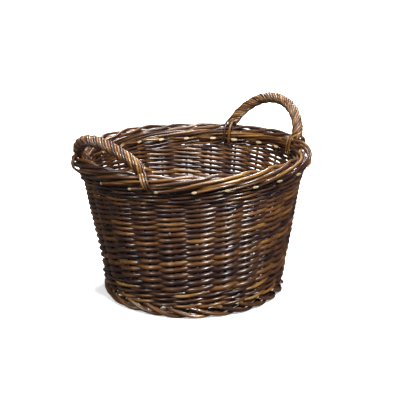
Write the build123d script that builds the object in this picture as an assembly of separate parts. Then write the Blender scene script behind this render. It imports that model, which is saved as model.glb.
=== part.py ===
from build123d import *
import math
import os

# A round, flared willow log basket with a foot border and two roped bow handles.
# Millimetres, +Z up; the origin is on the floor under the centre of the basket.
# The handles stand over +X and -X.

# Overall sizes
border_radius = 225.0         # outside of the border
crest_height = 280.0          # top of the border above the floor
foot_radius = 172.0           # outside of the foot border
wall_base_radius = 170.0      # outside of the weave where it leaves the base
border_overhang = 11.8        # border outside the top of the weave

# Woven bands, from the floor up
foot_height = 22.0
foot_width = 22.0
base_thickness = 14.0
upsett_height = 31.0
top_wale_height = 26.0
border_height = 22.0
border_width = 25.0
wall_thickness_at_base = 17.0
wall_thickness_at_border = 14.0
foot_rounding = 5.0
border_top_rounding = 9.0
border_bottom_rounding = 3.0

# Side stakes
stake_count = 24
stake_radius_at_base = 3.2
stake_radius_at_border = 2.5
stake_bend_radius = 14.0
stake_tail_length = 48.0      # tail pushed into the base
stake_rise_into_border = 11.0

# Base sticks: three slit, three threaded through the slits
slit_stick_radius = 5.5
threaded_stick_radius = 4.5
slit_opening = 5.0            # gap between the two halves of a slit stick
sticks_per_group = 3
stick_pitch = 11.5            # between neighbouring sticks of a group
stick_straight_half = 24.0    # straight part of a stick on each side of the centre
stick_end_gap = 3.0           # from a stick's end to the edge of the base
stick_bend_radius = 40.0

# Handles
bow_radius = 6.0
bow_tip_radius = 3.0
bow_depth = 100.0             # bow end below the crest of the border
stakes_inside_handle = 4      # side stakes between the two feet of a handle
bow_to_stake = 11.0           # between the axes of a bow end and the stake beside it
handle_turns = {"right": 0.0, "left": 180.0}
handle_rise = {"right": 70.0, "left": 54.0}   # middle of the grip above the crest, along its lean
handle_lean = {"right": 30.0, "left": 33.0}   # degrees outwards from upright
handle_corner_radius = 30.0
grip_radius = 11.5            # outside of the roping
lashing_thickness = 5.0
lashing_width = 27.0          # along the border
lashing_drop = 44.0           # ends of the lashing below the crest

# Fits
fit_clearance = 0.2           # between a rod and the weave round it

# Places that follow from the sizes
border_underside = crest_height - border_height
upsett_top = foot_height + upsett_height
top_wale_underside = border_underside - top_wale_height
wall_flare = (border_radius - border_overhang - wall_base_radius) / (border_underside - foot_height)
stake_angles = [(number + 0.5) * 360.0 / stake_count for number in range(stake_count)]
stake_tail_height = foot_height + base_thickness / 2
stake_top = border_underside + stake_rise_into_border


def wall_outside(height):
    """Outside radius of the weave at a height."""
    return wall_base_radius + (height - foot_height) * wall_flare


def wall_thickness(height):
    """Thickness of the weave at a height."""
    share = (height - foot_height) / (border_underside - foot_height)
    return wall_thickness_at_base + share * (wall_thickness_at_border - wall_thickness_at_base)


def wall_inside(height):
    """Inside radius of the weave at a height."""
    return wall_outside(height) - wall_thickness(height)


def wall_middle(height):
    """Radius of the stakes' line, the middle of the weave, at a height."""
    return wall_outside(height) - wall_thickness(height) / 2


base_radius = wall_inside(foot_height) - fit_clearance
stick_reach = base_radius - stick_end_gap


def tapered_rod(start, end, start_radius, end_radius):
    """A straight round rod that thins from one end to the other."""
    along = end - start
    return Solid.make_cone(start_radius, end_radius, along.length, Plane(origin=start, z_dir=along))


def side_stake(extra=0.0):
    """A stake: its tail in the base, pricked up at the edge, then leaning out to the border."""
    corner = Vector(wall_middle(stake_tail_height), 0, stake_tail_height)
    top = Vector(wall_middle(stake_top), 0, stake_top)
    upright = (top - corner).normalized()
    turn = math.radians(upright.get_angle(Vector(1, 0, 0)))
    setback = stake_bend_radius * math.tan(turn / 2)
    bend_start = corner - Vector(setback, 0, 0)
    bend_end = corner + upright * setback
    tail_end = Vector(base_radius - stake_tail_length, 0, stake_tail_height)
    tail = Edge.make_line(tail_end, bend_start)
    bend = Edge.make_tangent_arc(bend_start, Vector(1, 0, 0), bend_end)
    radius = stake_radius_at_base + extra
    section = Plane(origin=tail_end, z_dir=(1, 0, 0)) * Circle(radius)
    foot = sweep(section, path=Wire([tail, bend]))
    return foot + tapered_rod(bend_end, top, radius, stake_radius_at_border + extra)


def ring(section):
    """The solid that a section in the XZ plane makes when it turns round the basket's axis."""
    return revolve(Plane.XZ * section, Axis.Z)


def round_the_stakes(rod):
    """A copy of a rod at each stake's place."""
    return [Rot(0, 0, angle) * rod for angle in stake_angles]


def wall_section(low, high):
    """Section of the weave between two heights."""
    return make_face(Polyline(
        (wall_inside(low), low),
        (wall_outside(low), low),
        (wall_outside(high), high),
        (wall_inside(high), high),
        close=True,
    ))


def rounded_section(inner, outer, low, high, top_rounding, bottom_rounding):
    """Section of a border: a rectangle with rounded corners."""
    middle = Pos((inner + outer) / 2, (low + high) / 2)
    section = middle * Rectangle(outer - inner, high - low)
    corners = section.vertices().sort_by(Axis.Y)
    if bottom_rounding > 0:
        section = fillet(corners[:2], bottom_rounding)
        corners = section.vertices().sort_by(Axis.Y)
    return fillet(corners[-2:], top_rounding)


def border_section():
    """Section of the border, the stakes' turned-down ends."""
    return rounded_section(
        border_radius - border_width, border_radius, border_underside, crest_height,
        border_top_rounding, border_bottom_rounding,
    )


def foot_section():
    """Section of the foot border, flat on top under the base and flat where it stands."""
    section = Pos(foot_radius - foot_width / 2, foot_height / 2) * Rectangle(foot_width, foot_height)
    return fillet(section.vertices().sort_by(Axis.Y)[:2], foot_rounding)


def fanned_stick_path(offset):
    """Middle line of a base stick beside the centre one, bent apart at both ends."""
    side = math.copysign(1, offset) if offset else 0
    fan = math.radians(side * 180 / (2 * sticks_per_group))
    tip_x = stick_reach * math.cos(fan)
    tip_y = stick_reach * math.sin(fan)
    height = stake_tail_height
    if not offset:
        return Wire([Edge.make_line((-tip_x, 0, height), (tip_x, 0, height))])
    return Wire(FilletPolyline(
        (-tip_x, tip_y, height),
        (-stick_straight_half, offset, height),
        (stick_straight_half, offset, height),
        (tip_x, tip_y, height),
        radius=stick_bend_radius,
    ).edges())


def base_stick(offset, radius):
    """A round base stick lying along X."""
    path = fanned_stick_path(offset)
    return sweep(Plane(origin=path @ 0, z_dir=path % 0) * Circle(radius), path=path)


def stick_offsets():
    """Sideways places of the sticks in one group."""
    return [(number - (sticks_per_group - 1) / 2) * stick_pitch for number in range(sticks_per_group)]


def slit_sticks(extra=0.0):
    """The sticks along X, each slit in the middle for the threaded sticks."""
    length = 2 * (stick_offsets()[-1] + threaded_stick_radius + fit_clearance)
    slit = Pos(0, 0, stake_tail_height) * Box(length, border_radius, slit_opening)
    return [base_stick(offset, slit_stick_radius + extra) - slit for offset in stick_offsets()]


def threaded_sticks(extra=0.0):
    """The sticks along Y, shaved flat where they pass through the slits."""
    thickness = slit_opening - 2 * fit_clearance
    length = 2 * (stick_offsets()[-1] + slit_stick_radius + fit_clearance)
    shaved = []
    for offset in stick_offsets():
        stick = base_stick(offset, threaded_stick_radius + extra)
        for side in (1, -1):
            rise = side * (thickness / 2 + threaded_stick_radius)
            waste = Box(length, border_radius, 2 * threaded_stick_radius)
            stick -= Pos(0, 0, stake_tail_height + rise) * waste
        shaved.append(Rot(0, 0, 90) * stick)
    return shaved


def base_weave():
    """The woven disc, pierced for the sticks and for the tails of the stakes."""
    disc = Pos(0, 0, stake_tail_height) * Cylinder(base_radius, base_thickness)
    slath = stick_offsets()[-1] + slit_stick_radius + fit_clearance
    disc -= Pos(0, 0, stake_tail_height) * Box(2 * slath, 2 * slath, base_thickness)
    along_x = [base_stick(offset, slit_stick_radius + fit_clearance) for offset in stick_offsets()]
    along_y = [base_stick(offset, threaded_stick_radius + fit_clearance) for offset in stick_offsets()]
    disc -= along_x
    disc -= [Rot(0, 0, 90) * stick for stick in along_y]
    return disc - round_the_stakes(side_stake(fit_clearance))


def handle_foot_angle():
    """Angle from the middle of a handle to the bow end beside its outermost stake."""
    stake = (stakes_inside_handle - 1) / 2 * 360.0 / stake_count
    return stake + math.degrees(bow_to_stake / wall_middle(crest_height))


def bow_leg(side, extra=0.0):
    """The thinned end of a bow, down in the weave beside a stake."""
    low = crest_height - bow_depth
    top = Vector(wall_middle(crest_height), 0, crest_height)
    tip = Vector(wall_middle(low), 0, low)
    leg = tapered_rod(top, tip, bow_radius + extra, bow_tip_radius + extra)
    return Rot(0, 0, side * handle_foot_angle()) * leg


def arch(end, radius):
    """A round rod bent to the arch of one handle, here over +X."""
    foot_angle = math.radians(handle_foot_angle())
    foot_x = wall_middle(crest_height) * math.cos(foot_angle)
    half_span = wall_middle(crest_height) * math.sin(foot_angle)
    shoulder = half_span - handle_corner_radius
    rise = handle_rise[end]
    crown_radius = shoulder ** 2 + rise ** 2 - handle_corner_radius ** 2
    crown_radius /= 2 * (rise - handle_corner_radius)
    join = math.degrees(math.atan2(crown_radius - rise, shoulder))
    lean = math.radians(handle_lean[end])
    plane = Plane(
        origin=(foot_x, 0, crest_height),
        x_dir=(0, 1, 0),
        z_dir=(math.cos(lean), 0, -math.sin(lean)),
    )
    path = Wire([
        (plane * CenterArc((shoulder, 0), handle_corner_radius, 0, join)).edge(),
        (plane * CenterArc((0, rise - crown_radius), crown_radius, join, 180 - 2 * join)).edge(),
        (plane * CenterArc((-shoulder, 0), handle_corner_radius, 180 - join, join)).edge(),
    ])
    return sweep(Plane(origin=path @ 0, z_dir=path % 0) * Circle(radius), path=path)


def handle_bow(end, extra=0.0):
    """The thick rod inside one handle, with both ends down in the weave, here over +X."""
    bow = arch(end, bow_radius + extra)
    foot = Vector(wall_middle(crest_height), 0, crest_height)
    for side in (1, -1):
        knee = Rot(0, 0, side * handle_foot_angle()) * Pos(foot) * Sphere(bow_radius + extra)
        bow = bow + bow_leg(side, extra) + knee
    return bow


def lashing(side):
    """The roping's strands over the border at one foot of a handle, without the bow's hole."""
    wall = wall_section(top_wale_underside, border_underside)
    covered = border_section() + wall
    low = crest_height - lashing_drop
    reach = border_radius + border_width
    above = Pos(reach / 2, low + lashing_drop) * Rectangle(reach, 2 * lashing_drop)
    saddle = (offset(covered, lashing_thickness) - covered) & above
    spread = math.degrees(lashing_width / border_radius)
    return Rot(0, 0, side * handle_foot_angle() - spread / 2) * revolve(
        Plane.XZ * saddle, Axis.Z, revolution_arc=spread)


def build():
    """Every node by name."""
    nodes = {}
    stake_channels = round_the_stakes(side_stake(fit_clearance))
    bow_channels = [Rot(0, 0, turn) * handle_bow(end, fit_clearance) for end, turn in handle_turns.items()]
    for number, stick in enumerate(slit_sticks(), start=1):
        nodes[f"base_stick_slit_{number}"] = stick
    for number, stick in enumerate(threaded_sticks(), start=1):
        nodes[f"base_stick_threaded_{number}"] = stick
    nodes["base_weave"] = base_weave()
    for number, stake in enumerate(round_the_stakes(side_stake()), start=1):
        nodes[f"side_stake_{number:02d}"] = stake
    nodes["foot_border"] = ring(foot_section())
    nodes["upsett_wale"] = ring(wall_section(foot_height, upsett_top)) - stake_channels
    siding = ring(wall_section(upsett_top, top_wale_underside))
    nodes["siding_weave"] = siding - stake_channels - bow_channels
    top_wale = ring(wall_section(top_wale_underside, border_underside))
    nodes["top_wale"] = top_wale - stake_channels - bow_channels
    nodes["border"] = ring(border_section()) - stake_channels - bow_channels
    lashings = {"back": lashing(1), "front": lashing(-1)}
    for end, turn in handle_turns.items():
        over_end = Rot(0, 0, turn)
        bow_hole = handle_bow(end, fit_clearance)
        grip = arch(end, grip_radius) - bow_hole - ring(border_section()) - list(lashings.values())
        nodes[f"handle_bow_{end}"] = over_end * handle_bow(end)
        nodes[f"handle_roping_{end}"] = over_end * grip
        for foot, strands in lashings.items():
            nodes[f"handle_lashing_{end}_{foot}"] = over_end * (strands - bow_hole)
    return nodes


os.makedirs("parts", exist_ok=True)
for name, piece in build().items():
    export_step(piece, f"parts/{name}.step")
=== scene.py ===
import math
import random

import bpy
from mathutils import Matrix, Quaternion, Vector


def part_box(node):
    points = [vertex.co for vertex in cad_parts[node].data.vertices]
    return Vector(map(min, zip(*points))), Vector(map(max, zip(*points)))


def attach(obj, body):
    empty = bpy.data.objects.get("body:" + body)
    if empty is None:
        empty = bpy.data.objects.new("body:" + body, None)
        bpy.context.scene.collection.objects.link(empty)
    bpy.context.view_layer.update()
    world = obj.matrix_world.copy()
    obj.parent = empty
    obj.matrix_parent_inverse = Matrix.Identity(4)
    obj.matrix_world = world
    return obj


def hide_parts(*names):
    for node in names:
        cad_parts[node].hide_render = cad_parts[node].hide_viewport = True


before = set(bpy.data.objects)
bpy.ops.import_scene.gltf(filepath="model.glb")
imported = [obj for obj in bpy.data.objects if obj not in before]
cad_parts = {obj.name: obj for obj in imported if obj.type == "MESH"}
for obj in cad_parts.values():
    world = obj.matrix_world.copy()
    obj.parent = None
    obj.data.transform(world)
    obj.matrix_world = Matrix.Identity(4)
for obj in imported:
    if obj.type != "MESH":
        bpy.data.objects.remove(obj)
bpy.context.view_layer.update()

# A round log basket of dark varnished willow. Lengths are in metres, angles in radians.
# Rods are laid by stake numbers: route position 3.5 is half way between stakes 3 and 4.
MM = 0.001
STAKES = 24
PITCH = 2 * math.pi / STAKES
FIRST_STAKE = PITCH / 2

# The weave, read from the frame
base_low, base_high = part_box("base_weave")
upsett_low, upsett_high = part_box("upsett_wale")
siding_low, siding_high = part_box("siding_weave")
wale_low, wale_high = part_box("top_wale")
border_low, border_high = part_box("border")
foot_low, foot_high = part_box("foot_border")
WALL_AT_BASE = 17 * MM
WALL_AT_BORDER = 14 * MM
STAKE_AT_BASE = 3.2 * MM
STAKE_AT_BORDER = 2.5 * MM

dice = random.Random(7)


def blend(a, b, share):
    """The value a share of the way from a to b."""
    return a + (b - a) * share


def ease(share):
    """A share that starts and ends gently."""
    share = min(max(share, 0.0), 1.0)
    return share * share * (3 - 2 * share)


def up_the_wall(height):
    """How far up the weave a height is, 0 at the base and 1 under the border."""
    return (height - upsett_low[2]) / (wale_high[2] - upsett_low[2])


def stakes_line(height):
    """Radius of the line of the stakes at a height."""
    flare = (wale_high[0] - upsett_high[0]) / (wale_high[2] - upsett_high[2])
    outside = upsett_high[0] + (height - upsett_high[2]) * flare
    return outside - blend(WALL_AT_BASE, WALL_AT_BORDER, up_the_wall(height)) / 2


def stake_radius(height):
    """Radius of a stake at a height."""
    return blend(STAKE_AT_BASE, STAKE_AT_BORDER, up_the_wall(height))


def sway(angle, height):
    """Unevenness that neighbouring rods share, outwards and upwards."""
    out = 0.5 * MM * math.sin(3 * angle + 1.1 + 21 * height) + 0.4 * MM * math.sin(8 * angle - 37 * height)
    rise = 0.7 * MM * math.sin(4 * angle + 2.0) + 0.5 * MM * math.sin(9 * angle + 30 * height)
    return out, rise


def around(stake, radius, height):
    """A point at a place counted in stakes, a radius and a height."""
    angle = FIRST_STAKE + stake * PITCH
    return (radius * math.cos(angle), radius * math.sin(angle), height)


# Straight rods, and bending them


def nothing_selected():
    """Deselects every object."""
    bpy.ops.object.select_all(action="DESELECT")


def choose(piece):
    """Makes a piece the only one selected."""
    nothing_selected()
    piece.select_set(True)
    bpy.context.view_layer.objects.active = piece


def select_corners(piece, wanted):
    """Selects only the corners of a piece that a test wants."""
    bpy.ops.object.mode_set(mode="EDIT")
    bpy.ops.mesh.select_mode(type="VERT")
    bpy.ops.mesh.select_all(action="DESELECT")
    bpy.ops.object.mode_set(mode="OBJECT")
    for corner in piece.data.vertices:
        corner.select = wanted(corner.co)


ROD_SIDES = 8
PLAIN_SLANT = 0.6
SHARP_EDGE = math.radians(50)


def straight_rod(name, length, radius, steps, slant=PLAIN_SLANT):
    """A straight round rod along X, in short lengths; its far end is cut at a slant, facing +Y."""
    nothing_selected()
    step = length / steps
    bpy.ops.mesh.primitive_cylinder_add(
        vertices=ROD_SIDES, radius=radius, depth=step, end_fill_type="NOTHING",
        location=(step / 2, 0, 0), rotation=(0, math.pi / 2, 0),
    )
    rod = bpy.context.object
    rod.name = name
    bpy.ops.object.transform_apply()
    rows = rod.modifiers.new("lengths", "ARRAY")
    rows.count = steps
    rows.use_merge_vertices = True
    rows.merge_threshold = step / 20
    bpy.ops.object.modifier_apply(modifier=rows.name)
    select_corners(rod, lambda corner: corner.x > length - step / 2)
    bpy.ops.object.mode_set(mode="EDIT")
    bpy.ops.transform.resize(value=(1, 1 / math.cos(slant), 1), center_override=(length, 0, 0))
    bpy.ops.transform.rotate(value=-slant, orient_axis="Z", center_override=(length, 0, 0))
    bpy.ops.mesh.select_all(action="SELECT")
    bpy.ops.mesh.fill_holes(sides=ROD_SIDES)
    bpy.ops.mesh.normals_make_consistent(inside=False)
    bpy.ops.object.mode_set(mode="OBJECT")
    bpy.ops.object.shade_smooth_by_angle(angle=SHARP_EDGE)
    place = rod.data.attributes.new("straight_place", "FLOAT_VECTOR", "POINT")
    rod.data.attributes.new("tone", "FLOAT", "POINT")
    places = [value for corner in rod.data.vertices for value in corner.co]
    rod.data.attributes["straight_place"].data.foreach_set("vector", places)
    for face in rod.data.polygons:
        cut_end = len(face.vertices) > 4
        face.material_index = int(cut_end)
    return rod


def guide_line(places, girths):
    """A line to bend a rod along; a girth of 1 leaves the rod as thick as it was."""
    shape = bpy.data.curves.new("guide", "CURVE")
    shape.dimensions = "3D"
    shape.use_stretch = True
    shape.use_deform_bounds = True
    shape.twist_mode = "Z_UP"
    line = shape.splines.new("POLY")
    line.points.add(len(places) - 1)
    for point, place, girth in zip(line.points, places, girths):
        point.co = (*place, 1)
        point.radius = girth
    guide = bpy.data.objects.new("guide", shape)
    bpy.context.collection.objects.link(guide)
    return guide


def bent_rod(pattern, name, places, girths, tone):
    """A copy of a straight rod, bent along a line of places."""
    rod = pattern.copy()
    rod.data = pattern.data.copy()
    rod.name = name
    bpy.context.collection.objects.link(rod)
    guide = guide_line(places, girths)
    choose(rod)
    bend = rod.modifiers.new("bend", "CURVE")
    bend.object = guide
    bpy.ops.object.modifier_apply(modifier=bend.name)
    bpy.data.objects.remove(guide)
    rod.data.attributes["tone"].data.foreach_set("value", [tone] * len(rod.data.vertices))
    return rod


def line_length(places):
    """Length of a line of places."""
    return sum(math.dist(a, b) for a, b in zip(places, places[1:]))


def finish_rod(rod, materials, slot, *nodes):
    """Gives a rod its finishes and its place in the frame."""
    for material in materials:
        rod.data.materials.append(material)
    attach(rod, "root")
    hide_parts(*nodes)


def joined(name, pieces):
    """One piece from several."""
    choose(pieces[0])
    for piece in pieces:
        piece.select_set(True)
    bpy.ops.object.join()
    pieces[0].name = name
    return pieces[0]


def thrown_away(piece):
    """Removes a pattern piece."""
    bpy.data.objects.remove(piece)


# Finishes


class Socket:
    """An output whose sums and products add Math nodes."""

    def __init__(self, paint, output):
        self.paint = paint
        self.output = output

    def __add__(self, other):
        return self.paint.maths("ADD", self, other)

    __radd__ = __add__

    def __sub__(self, other):
        return self.paint.maths("SUBTRACT", self, other)

    def __rsub__(self, other):
        return self.paint.maths("SUBTRACT", other, self)

    def __mul__(self, other):
        return self.paint.maths("MULTIPLY", self, other)

    __rmul__ = __mul__


class Paint:
    """A material and the nodes that make its pattern."""

    def __init__(self, name):
        self.material = bpy.data.materials.new(name)
        self.material.use_nodes = True
        self.tree = self.material.node_tree
        self.shader = self.tree.nodes["Principled BSDF"]

    def give(self, node, sockets):
        """Sets or links a node's sockets, by name or number."""
        for key, value in sockets.items():
            if isinstance(value, Socket):
                self.tree.links.new(value.output, node.inputs[key])
            else:
                node.inputs[key].default_value = value

    def node(self, kind, settings, sockets, output=0):
        """Adds a node: its settings first, then its sockets."""
        node = self.tree.nodes.new(kind)
        stops = settings.pop("stops", None)
        for key, value in settings.items():
            setattr(node, key, value)
        if stops:
            while len(node.color_ramp.elements) < len(stops):
                node.color_ramp.elements.new(0.5)
            for element, (position, colour) in zip(node.color_ramp.elements, stops):
                element.position = position
                element.color = (*colour, 1)
        self.give(node, sockets)
        return Socket(self, node.outputs[output])

    def maths(self, operation, a, b):
        """A Math node on two values."""
        return self.node("ShaderNodeMath", {"operation": operation}, {0: a, 1: b})

    def stretched(self, place, scale):
        """A place with each axis scaled."""
        return self.node("ShaderNodeVectorMath", {"operation": "MULTIPLY"}, {0: place, 1: scale})

    def moved(self, place, shift):
        """A place moved by a value along all three axes."""
        shift = self.node("ShaderNodeCombineXYZ", {}, {0: shift, 1: shift, 2: shift})
        return self.node("ShaderNodeVectorMath", {"operation": "ADD"}, {0: place, 1: shift})

    def noise(self, place, scale=1.0, detail=2.0):
        """A cloudy pattern from 0 to 1."""
        return self.node("ShaderNodeTexNoise", {}, {"Vector": place, "Scale": scale, "Detail": detail})

    def ramp(self, value, stops):
        """Colours along a value."""
        return self.node("ShaderNodeValToRGB", {"stops": stops}, {"Fac": value})

    def mixed(self, share, a, b, way="MIX"):
        """Two colours mixed by a share."""
        settings = {"data_type": "RGBA", "blend_type": way}
        return self.node("ShaderNodeMix", settings, {0: share, 6: a, 7: b}, output=2)

    def between(self, value, low, high):
        """0 below low, 1 above high, and a ramp between."""
        sockets = {"Value": value, "From Min": low, "From Max": high}
        return self.node("ShaderNodeMapRange", {"interpolation_type": "SMOOTHSTEP"}, sockets)

    def bump(self, height, strength, distance):
        """A normal raised by a height."""
        sockets = {"Height": height, "Strength": strength, "Distance": distance}
        return self.node("ShaderNodeBump", {}, sockets)


NEAR_BLACK = (0.006, 0.003, 0.0028)
PLUM = (0.024, 0.008, 0.008)
UMBER = (0.056, 0.022, 0.007)
CHESTNUT = (0.128, 0.052, 0.012)
OCHRE = (0.250, 0.138, 0.030)
BLOTCHINESS = 1.1
BARK_TONES = [(0.0, NEAR_BLACK), (0.25, PLUM), (0.5, UMBER), (0.75, CHESTNUT), (1.0, OCHRE)]
CREAM = (0.80, 0.66, 0.44)
PITH = (0.36, 0.22, 0.11)


def varnish(paint, colour, roughness, normal, coat):
    """Colours under a glossy coat, thicker in some places than in others."""
    paint.give(paint.shader, {"Base Color": colour, "Roughness": roughness, "Normal": normal})
    paint.give(paint.shader, {"Coat Weight": coat, "Specular IOR Level": 0.5, "Coat Roughness": 0.15})
    return paint.material


def bark(name, along_rod=True):
    """Varnished willow bark: tones from rod to rod, blotches, fine grain and leaf scars."""
    paint = Paint(name)
    if along_rod:
        tone = paint.node("ShaderNodeAttribute", {"attribute_name": "tone"}, {}, output="Fac")
        place = paint.node("ShaderNodeAttribute", {"attribute_name": "straight_place"}, {}, output="Vector")
        place = paint.moved(place, tone * 13)
        grain_scale = (70, 900, 900)
        scar_scale = (34, 160, 160)
    else:
        place = paint.node("ShaderNodeTexCoord", {}, {}, output="Object")
        tone = paint.between(paint.noise(paint.stretched(place, (9, 9, 0.5))), 0.3, 0.7)
        grain_scale = (900, 900, 70)
        scar_scale = (160, 160, 34)
    blotch = paint.noise(paint.stretched(place, (22, 60, 60)), detail=3.0)
    grain = paint.noise(paint.stretched(place, grain_scale), detail=3.0)
    speckle = paint.noise(paint.stretched(place, scar_scale), detail=1.0)
    scar = paint.between(speckle, 0.66, 0.74)
    shade = tone + (blotch - 0.5) * BLOTCHINESS
    colour = paint.ramp(shade, BARK_TONES)
    streak = paint.ramp(grain, [(0.25, (0.55, 0.50, 0.48)), (0.75, (1.35, 1.3, 1.25))])
    colour = paint.mixed(1.0, colour, streak, "MULTIPLY")
    colour = paint.mixed(scar * 0.7, colour, (*NEAR_BLACK, 1))
    roughness = 0.22 + blotch * 0.22 + scar * 0.2
    height = grain * 0.5 + scar * 0.8 + blotch * 0.5
    coat = paint.between(blotch + grain * 0.4, 0.45, 0.95) * 0.5
    return varnish(paint, colour, roughness, paint.bump(height, 0.7, 0.5 * MM), coat)


def cut_wood(name):
    """The pale wood of a cut end, with its pith and a little dirt."""
    paint = Paint(name)
    tone = paint.node("ShaderNodeAttribute", {"attribute_name": "tone"}, {}, output="Fac")
    place = paint.node("ShaderNodeAttribute", {"attribute_name": "straight_place"}, {}, output="Vector")
    across = paint.stretched(place, (0, 1, 1))
    radius = paint.node("ShaderNodeVectorMath", {"operation": "LENGTH"}, {0: across}, output="Value")
    pith = 1 - paint.between(radius, 0.3 * MM, 0.9 * MM)
    dirt = paint.noise(paint.stretched(place, (700, 700, 700)), detail=3.0)
    colour = paint.ramp(dirt, [(0.3, (0.55, 0.40, 0.24)), (0.6, CREAM)])
    colour = paint.mixed(pith * 0.8, colour, (*PITH, 1))
    weathered = paint.ramp(tone, [(0.2, (0.50, 0.42, 0.34)), (0.75, (1.0, 1.0, 1.0))])
    colour = paint.mixed(1.0, colour, weathered, "MULTIPLY")
    return varnish(paint, colour, 0.5 + dirt * 0.2, paint.bump(dirt, 0.3, 0.3 * MM), 0.1)


bark_finish = bark("varnished_bark")
stick_finish = bark("varnished_sticks", along_rod=False)
cut_finish = cut_wood("cut_wood")


def rod_tone(low=0.12, high=0.92):
    """A rod's own tone."""
    return blend(low, high, (dice.random() + dice.random()) / 2)


# Siding: French randing, 24 rods that all climb at once, over one stake and under the next

SIDING_PASSES = 34
SIDING_STEPS = 8
SIDING_BUTT = 6.7 * MM
SIDING_REACH = 1.02
SIDING_FULLNESS = 1.46
SIDING_DEPTH = 0.88
SIDING_VARIETY = (0.93, 1.05)


def siding_climb(passes):
    """How far a siding rod has climbed after some passes, and its thickness there."""
    tip = 2 * (siding_high[2] - siding_low[2]) / SIDING_PASSES - SIDING_BUTT
    climbed = SIDING_BUTT * passes + (tip - SIDING_BUTT) * passes ** 2 / (2 * SIDING_PASSES)
    return climbed, blend(SIDING_BUTT, tip, passes / SIDING_PASSES)


def siding_route(first):
    """Places and thicknesses of the siding rod that starts behind a stake."""
    places = []
    thicknesses = []
    for step in range(SIDING_PASSES * SIDING_STEPS + 1):
        passes = step / SIDING_STEPS
        climbed, thickness = siding_climb(passes)
        height = siding_low[2] + climbed * SIDING_REACH
        out, rise = sway(FIRST_STAKE + (first + passes) * PITCH, height)
        weave = -math.cos(math.pi * passes) * (stake_radius(height) + thickness / 2) * SIDING_DEPTH
        radius = stakes_line(height) + weave + out
        places.append(around(first + passes, radius, height + rise))
        thicknesses.append(thickness)
    return places, thicknesses


def make_siding():
    """The siding's rods."""
    places, thicknesses = siding_route(0)
    pattern = straight_rod("siding_pattern", line_length(places), MM / 2, len(places) - 1)
    for number in range(STAKES):
        places, thicknesses = siding_route(number)
        fullness = SIDING_FULLNESS * dice.uniform(*SIDING_VARIETY)
        girths = [thickness / MM * fullness for thickness in thicknesses]
        rod = bent_rod(pattern, f"siding_rod_{number + 1:02d}", places, girths, rod_tone())
        finish_rod(rod, (bark_finish, cut_finish), "woven_willow", "siding_weave")
    thrown_away(pattern)


# Waling: three rods, each in front of two stakes and behind one

WALE_STEPS = 6
WALE_STRANDS = 3
WALE_DEPTH = 0.9
WALE_FIRST_PASS = 1.7
WALE_OVERLAP = 0.6
WALE_SHORTER_EACH_TURN = 0.2
WALE_STEP_UP = 0.14            # the last share of a round, where a rod steps up a row
WALE_TAPER = (1.06, 0.92)
WALE_VARIETY = (0.94, 1.06)


def wale_stroke(passes):
    """How far out a waling rod is, and how far up in its row, from -1 to 1."""
    out = 1 / 3 + 4 / 3 * math.cos(2 * math.pi * (passes - 0.5) / 3)
    phase = (passes + 0.5) % 3
    if phase < 2:
        return out, -1 + 2 * ease((phase - 0.3) / 1.4)
    return out, 1 - 2 * ease(phase - 2)


def wale_route(start, first_pass, last_pass, low, thickness, rise_share):
    """Places of a waling rod between two passes of its strand."""
    places = []
    for step in range(round((last_pass - first_pass) * WALE_STEPS) + 1):
        passes = first_pass + step / WALE_STEPS
        stake = start + passes
        turns, part = divmod(stake / STAKES, 1)
        stepped = turns + ease((part - 1 + WALE_STEP_UP) / WALE_STEP_UP)
        out, lift = wale_stroke(passes)
        height = low + thickness * (1 + lift / 2 + 2 * rise_share * stepped)
        bulge, rise = sway(FIRST_STAKE + stake * PITCH, height)
        reach = (stake_radius(height) + thickness / 2) * WALE_DEPTH
        places.append(around(stake, stakes_line(height) + out * reach + bulge, height + rise))
    return places


def make_wale(name, node, low, thickness, rounds, rise_share):
    """A band of three-rod waling, with a fresh rod in each strand every round."""
    length = STAKES + WALE_OVERLAP
    first = wale_route(0, WALE_FIRST_PASS, WALE_FIRST_PASS + length, low, thickness, rise_share)
    pattern = straight_rod(f"{name}_pattern", line_length(first), thickness / 2, len(first) - 1)
    for strand in range(WALE_STRANDS):
        for turn in range(rounds):
            begin = WALE_FIRST_PASS + turn * STAKES
            end = begin + length - WALE_SHORTER_EACH_TURN * turn
            places = wale_route(strand, begin, end, low, thickness, rise_share)
            size = dice.uniform(*WALE_VARIETY)
            girths = [size * blend(*WALE_TAPER, step / len(places)) for step in range(len(places))]
            rod_name = f"{name}_rod_{strand + WALE_STRANDS * turn + 1}"
            rod = bent_rod(pattern, rod_name, places, girths, rod_tone())
            finish_rod(rod, (bark_finish, cut_finish), "woven_willow", node)
    thrown_away(pattern)


# Borders: each rod is led along a few places and lies over the next ones


def smooth_value(before, a, b, after, share):
    """A value between a and b on a smooth curve through all four."""
    steepness = b - before
    bend = 2 * before - 5 * a + 4 * b - after
    sag = 3 * a - before - 3 * b + after
    return 0.5 * (2 * a + steepness * share + bend * share ** 2 + sag * share ** 3)


def smooth_line(knots, steps):
    """A smooth line through a few knots, with steps between each two."""
    ends = [knots[0]] + list(knots) + [knots[-1]]
    line = []
    for before, a, b, after in zip(ends, ends[1:], ends[2:], ends[3:]):
        for step in range(steps):
            line.append([smooth_value(*values, step / steps) for values in zip(before, a, b, after)])
    line.append(list(knots[-1]))
    return line


BORDER_STEPS = 7
BORDER_STRAY = 0.09            # how far a rod strays from its stake, in stakes
BORDER_VARIETY = (0.92, 1.06)


def border_route(stake, knots):
    """Places of a border rod; a knot is stakes along, radius and height in millimetres."""
    places = []
    for along, radius, height in smooth_line(knots, BORDER_STEPS):
        out, rise = sway(FIRST_STAKE + (stake - along) * PITCH, border_high[2])
        places.append(around(stake - along, radius * MM + out, height * MM + rise))
    return places


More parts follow.
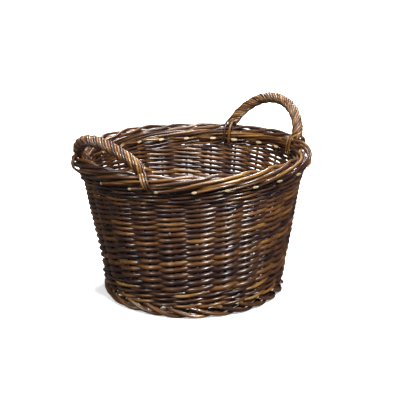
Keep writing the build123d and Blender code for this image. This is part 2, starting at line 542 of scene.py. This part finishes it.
def make_border_rods(name, node, knots, butt, tip, slant, shift=0.0):
    """A border's rods, one to each stake."""
    first = border_route(0, knots)
    pattern = straight_rod(f"{name}_pattern", line_length(first), butt / 2, len(first) - 1, slant=slant)
    for number in range(STAKES):
        places = border_route(number + shift + dice.uniform(-BORDER_STRAY, BORDER_STRAY), knots)
        size = dice.uniform(*BORDER_VARIETY)
        girths = [size * blend(1, tip / butt, step / len(places)) for step in range(len(places))]
        rod = bent_rod(pattern, f"{name}_{number + 1:02d}", places, girths, rod_tone())
        finish_rod(rod, (bark_finish, cut_finish), "dark_stake", node)
    thrown_away(pattern)


BORDER_MAIN = [
    (0.0, 206, 250), (0.02, 207, 260), (0.35, 204, 268), (1.0, 203, 272), (1.5, 210, 277),
    (2.1, 219, 274), (3.0, 223, 268), (3.7, 219, 260), (4.2, 207, 254), (4.6, 199, 251), (5.2, 195, 251),
]
BORDER_FOLLOW = [
    (0.1, 205, 251), (0.2, 204, 259), (1.0, 202.5, 264), (1.6, 208, 270),
    (2.3, 215, 268), (3.2, 221, 262), (3.9, 222, 256), (4.35, 222, 252),
]
BORDER_INSIDE = [
    (0.2, 206, 250), (0.5, 203, 255), (1.2, 199, 259), (2.2, 199, 264),
    (3.2, 203, 266), (4.0, 209, 262), (4.5, 214, 256),
]
FOOT_MAIN = [
    (0.0, 163, 30), (0.05, 163, 20), (0.4, 160, 12), (0.9, 162, 6), (1.3, 167.5, 4.9),
    (1.8, 171, 8), (2.3, 171.5, 15), (2.75, 170.5, 23),
]
FOOT_FOLLOW = [
    (0.1, 161, 30), (0.2, 159, 21), (0.7, 157, 14), (1.2, 160, 10),
    (1.7, 166, 8), (2.1, 169.5, 13), (2.6, 171, 20), (2.95, 170.5, 27),
]


# Base: two rods twined round the spread sticks

BASE_STICKS = 12
BASE_STICK_RADIUS = 5 * MM
BASE_ROD = 4.6 * MM
BASE_STEPS = 6
BASE_RODS = 6                  # rods to each strand, end to end
BASE_INNER = 24 * MM
BASE_OUTER = base_high[0] - BASE_ROD / 2
BASE_PITCH = 1.72 * BASE_ROD   # outwards in one round


def base_route(strand, first_pass, last_pass):
    """Places of a pairing rod, spiralling out from the middle."""
    middle = (base_low[2] + base_high[2]) / 2
    places = []
    for step in range(round((last_pass - first_pass) * BASE_STEPS) + 1):
        passes = first_pass + step / BASE_STEPS
        radius = BASE_INNER + BASE_PITCH * passes / BASE_STICKS
        twist = math.pi * (passes + strand)
        lift = math.cos(twist) * (BASE_STICK_RADIUS + BASE_ROD / 2)
        radius = min(radius, BASE_OUTER) + math.sin(twist) * BASE_ROD / 2
        angle = passes * 2 * math.pi / BASE_STICKS
        places.append((radius * math.cos(angle), radius * math.sin(angle), middle + lift))
    return places


def make_base():
    """The woven base."""
    rounds = (BASE_OUTER - BASE_INNER) / BASE_PITCH
    span = rounds * BASE_STICKS / BASE_RODS
    for strand in range(2):
        for number in range(BASE_RODS):
            places = base_route(strand, number * span, (number + 1) * span + 0.3)
            pattern = straight_rod("base_pattern", line_length(places), BASE_ROD / 2, len(places) - 1)
            name = f"base_weaver_{strand * BASE_RODS + number + 1}"
            rod = bent_rod(pattern, name, places, [1] * len(places), rod_tone(0.1, 0.9))
            finish_rod(rod, (bark_finish, cut_finish), "woven_willow", "base_weave")
            thrown_away(pattern)


# Handles: strands roped round a bow, their ends led over the border

GRIP_STRANDS = 9
STRAND = 4.8 * MM
BOW = 6 * MM
GRIP = 11.5 * MM
HANDLE_LEANS = {"right": math.radians(30), "left": math.radians(33)}
HANDLE_CORNER = 30 * MM
HANDLE_TWIST = 2 * math.pi / (64 * MM)
ROPING_STEP = 3 * MM
STRANDS_PROUD = 0.5 * MM       # every third strand stands out from its neighbours
STRAND_VARIETY = (0.92, 1.05)
PALE_STRANDS = (0.6, 1.0)
DARK_STRANDS = (0.25, 0.6)
TAIL_SPACING = 1.2 * STRAND
TAIL_STEPS = 4
FREE_PLACES = 2                # places at each end of the roping that its tails take over
TAILS_OUTSIDE = (1, 2, 3)
TAILS_INSIDE = (1, 3)


def handle_middle_line(end):
    """A handle's middle line over +X: places, each with a direction outwards and one sideways."""
    low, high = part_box(f"handle_roping_{end}")
    lean = HANDLE_LEANS[end]
    half_span = high[1] - GRIP
    crest = border_high[2]
    rise = (high[2] - crest - GRIP) / math.cos(lean)
    foot_x = max(high[0], -low[0]) - GRIP - rise * math.sin(lean)
    shoulder = half_span - HANDLE_CORNER
    crown = (shoulder ** 2 + rise ** 2 - HANDLE_CORNER ** 2) / (2 * (rise - HANDLE_CORNER))
    join = math.atan2(crown - rise, shoulder)
    bends = [
        (shoulder, 0.0, HANDLE_CORNER, 0.0, join),
        (0.0, rise - crown, crown, join, math.pi - join),
        (-shoulder, 0.0, HANDLE_CORNER, math.pi - join, math.pi),
    ]
    line = []
    for across, up, radius, begin, finish in bends:
        steps = max(2, round(radius * (finish - begin) / ROPING_STEP))
        for step in range(steps + (finish == math.pi)):
            turn = blend(begin, finish, step / steps)
            height = up + radius * math.sin(turn)
            place = (
                foot_x + height * math.sin(lean),
                across + radius * math.cos(turn),
                crest + height * math.cos(lean),
            )
            outwards = (math.sin(turn) * math.sin(lean), math.cos(turn), math.sin(turn) * math.cos(lean))
            line.append((place, outwards, (math.cos(lean), 0.0, -math.sin(lean))))
    return line


def tail_route(side, outside, rank):
    """Places of a strand's end at the foot on one side: over the border, or down into it."""
    low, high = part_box("handle_lashing_right_back")
    foot = math.atan2(low[1] + high[1], low[0] + high[0])
    spread = (rank - (GRIP_STRANDS // 2 - 1) / 2) * TAIL_SPACING
    if outside and rank in TAILS_OUTSIDE:
        radii = (221, 225.5, 228.5, 227.5, 221, 214, 207)
        heights = (281.5, 277, 269, 261, 255, 250, 245)
        drift = 0.015
    elif not outside and rank in TAILS_INSIDE:
        radii = (204, 197.5, 195, 194.5, 197, 203)
        heights = (284, 277, 266, 254, 243, 238)
        drift = 0.006
    else:
        radii = (213, 212, 211, 210, 209, 208) if outside else (207, 208, 208, 208, 208, 208)
        heights = (283, 279, 275, 271, 267, 263)
        drift = 0.0
    places = []
    for step, (radius, height) in enumerate(zip(radii, heights)):
        narrowing = blend(1, 0.7, step / (len(radii) - 1))
        angle = side * foot + spread * narrowing / (radius * MM) + drift * step
        places.append((radius * MM * math.cos(angle), radius * MM * math.sin(angle), height * MM))
    return places


def strand_turn(number, run, whole):
    """How far round the bow a strand is, some way along the handle."""
    return 2 * math.pi * number / GRIP_STRANDS - HANDLE_TWIST * (run - whole / 2)


def strand_route(number, line, travelled):
    """Places of one strand of the roping, with its two ends."""
    whole = travelled[-1]
    half = GRIP_STRANDS // 2
    reach = BOW + STRAND / 2 + STRANDS_PROUD * math.cos(2 * math.pi * number / 3)
    places = []
    for (place, outwards, sideways), run in zip(line, travelled):
        turn = strand_turn(number, run, whole)
        places.append([
            p + reach * (math.cos(turn) * o + math.sin(turn) * s)
            for p, o, s in zip(place, outwards, sideways)
        ])
    places = places[FREE_PLACES:-FREE_PLACES]
    tails = []
    for side, run, corner in ((1, 0.0, places[0]), (-1, whole, places[-1])):
        turn = strand_turn(number, run, whole) % (2 * math.pi)
        outside = turn < math.pi
        rank = int(turn % math.pi / math.pi * half)
        if outside == (side > 0):
            rank = half - 1 - rank
        tails.append(smooth_line([corner] + tail_route(side, outside, rank), TAIL_STEPS)[1:])
    return tails[0][::-1] + places + tails[1]


def make_handle(end):
    """The roping of one handle."""
    line = handle_middle_line(end)
    travelled = [0.0]
    for (a, _, _), (b, _, _) in zip(line, line[1:]):
        travelled.append(travelled[-1] + math.dist(a, b))
    strands = []
    for number in range(GRIP_STRANDS):
        places = strand_route(number, line, travelled)
        pattern = straight_rod("roping_pattern", line_length(places), STRAND / 2, len(places) - 1)
        size = dice.uniform(*STRAND_VARIETY)
        tone = rod_tone(*PALE_STRANDS) if number % 3 else rod_tone(*DARK_STRANDS)
        strands.append(bent_rod(pattern, f"strand_{number}", places, [size] * len(places), tone))
        thrown_away(pattern)
    roping = joined(f"roped_handle_{end}", strands)
    if end == "left":
        choose(roping)
        roping.rotation_euler = (0, 0, math.pi)
        bpy.ops.object.transform_apply(location=False, rotation=True, scale=False)
    nodes = [f"handle_roping_{end}", f"handle_lashing_{end}_front", f"handle_lashing_{end}_back"]
    finish_rod(roping, (bark_finish, cut_finish), "roped_willow", *nodes)


def finish_frame():
    """Gives the sticks and stakes that stay in sight their finish."""
    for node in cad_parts.values():
        node.data.materials.clear()
        node.data.materials.append(stick_finish)


# Room, lights and camera


def pale_floor():
    """A wide pale floor."""
    nothing_selected()
    bpy.ops.mesh.primitive_plane_add(size=40, location=(0, 0, foot_low[2]))
    floor = bpy.context.object
    floor.name = "floor"
    paint = Paint("pale_floor")
    place = paint.node("ShaderNodeTexCoord", {}, {}, output="Object")
    mottle = paint.noise(place, 3.0)
    colour = paint.ramp(mottle, [(0.3, (0.86, 0.86, 0.86)), (0.7, (0.88, 0.88, 0.88))])
    paint.give(paint.shader, {"Base Color": colour, "Roughness": 0.9})
    paint.give(paint.shader, {"Emission Color": (1, 1, 1, 1), "Emission Strength": 0.4})
    floor.data.materials.append(paint.material)
    floor.visible_diffuse = False
    floor.visible_glossy = False


def pale_backdrop():
    """A round pale backdrop behind the floor on every side."""
    nothing_selected()
    bpy.ops.mesh.primitive_uv_sphere_add(radius=19, location=(0, 0, 0))
    backdrop = bpy.context.object
    backdrop.name = "backdrop"
    bpy.ops.object.shade_smooth()
    paint = Paint("pale_backdrop")
    paint.give(paint.shader, {"Base Color": (0, 0, 0, 1), "Specular IOR Level": 0.0})
    paint.give(paint.shader, {"Emission Color": (1, 1, 1, 1), "Emission Strength": 1.0})
    backdrop.data.materials.append(paint.material)
    backdrop.visible_diffuse = False
    backdrop.visible_glossy = False
    backdrop.visible_shadow = False


def soft_box(name, place, power):
    """A square studio light aimed at the basket."""
    light = bpy.data.lights.new(name, "AREA")
    light.size = SOFT_BOX_SIZE
    light.energy = power
    lamp = bpy.data.objects.new(name, light)
    bpy.context.collection.objects.link(lamp)
    lamp.location = place
    target = Vector((0, 0, LIT_HEIGHT))
    lamp.rotation_euler = (target - lamp.location).to_track_quat("-Z", "Y").to_euler()


VIEW_TURN = math.radians(-41)
VIEW_DOWN = math.radians(17.44)
VIEW_ROLL = math.radians(1.03)
VIEW_DISTANCE = 2.0
VIEW_HEIGHT = 0.14
LIT_HEIGHT = 0.15
SOFT_BOX_SIZE = 0.5


def round_the_room(turn, away, height):
    """A place in the room: turned from the front, at a distance from the middle, at a height."""
    return Vector((away * math.sin(turn), -away * math.cos(turn), height))


def make_camera():
    """The camera: a long lens, in front and a little above."""
    middle = Vector((0, 0, VIEW_HEIGHT))
    flat = VIEW_DISTANCE * math.cos(VIEW_DOWN)
    place = round_the_room(VIEW_TURN, flat, middle.z + VIEW_DISTANCE * math.sin(VIEW_DOWN))
    lens = bpy.data.cameras.new("camera")
    lens.sensor_width = 36
    lens.lens = 93.6
    lens.shift_x = 0.0173
    lens.shift_y = 0.0428
    camera = bpy.data.objects.new("camera", lens)
    bpy.context.collection.objects.link(camera)
    camera.location = place
    aim = (middle - place).to_track_quat("-Z", "Y")
    camera.rotation_mode = "QUATERNION"
    camera.rotation_quaternion = aim @ Quaternion((0, 0, 1), -VIEW_ROLL)
    bpy.context.scene.camera = camera


def make_lights():
    """Faint light from all round, three soft boxes and a broad light overhead."""
    world = bpy.data.worlds.new("studio")
    world.use_nodes = True
    world.node_tree.nodes["Background"].inputs["Color"].default_value = (1, 1, 1, 1)
    world.node_tree.nodes["Background"].inputs["Strength"].default_value = 0.13
    bpy.context.scene.world = world
    soft_box("key", round_the_room(VIEW_TURN + 0.5, 2.2, 2.0), 140)
    soft_box("fill", round_the_room(VIEW_TURN - 0.9, 2.4, 1.8), 42)
    soft_box("back", round_the_room(VIEW_TURN + 2.9, 2.0, 2.4), 85)
    overhead = bpy.data.lights.new("overhead", "SUN")
    overhead.energy = 4.6
    overhead.angle = math.radians(16)
    lamp = bpy.data.objects.new("overhead", overhead)
    bpy.context.collection.objects.link(lamp)


make_siding()
make_wale("upsett", "upsett_wale", upsett_low[2] - 1.5 * MM, 5.9 * MM, 3, 0.92)
make_wale("top_waling", "top_wale", wale_low[2] - 3.5 * MM, 4.9 * MM, 4, 0.74)
make_border_rods("border_rod", "border", BORDER_MAIN, 6.8 * MM, 5.0 * MM, -1.15)
make_border_rods("border_follower", "border", BORDER_FOLLOW, 6.2 * MM, 4.7 * MM, 1.0)
make_border_rods("border_inside_rod", "border", BORDER_INSIDE, 5.6 * MM, 5.0 * MM, 0.6)
make_border_rods("foot_rod", "foot_border", FOOT_MAIN, 7.6 * MM, 6.6 * MM, 1.1, shift=0.4)
make_border_rods("foot_follower", "foot_border", FOOT_FOLLOW, 6.8 * MM, 5.8 * MM, 1.1, shift=0.4)
make_base()
make_handle("right")
make_handle("left")
finish_frame()
pale_floor()
pale_backdrop()
make_camera()
make_lights()
bpy.context.scene.view_settings.view_transform = "Standard"
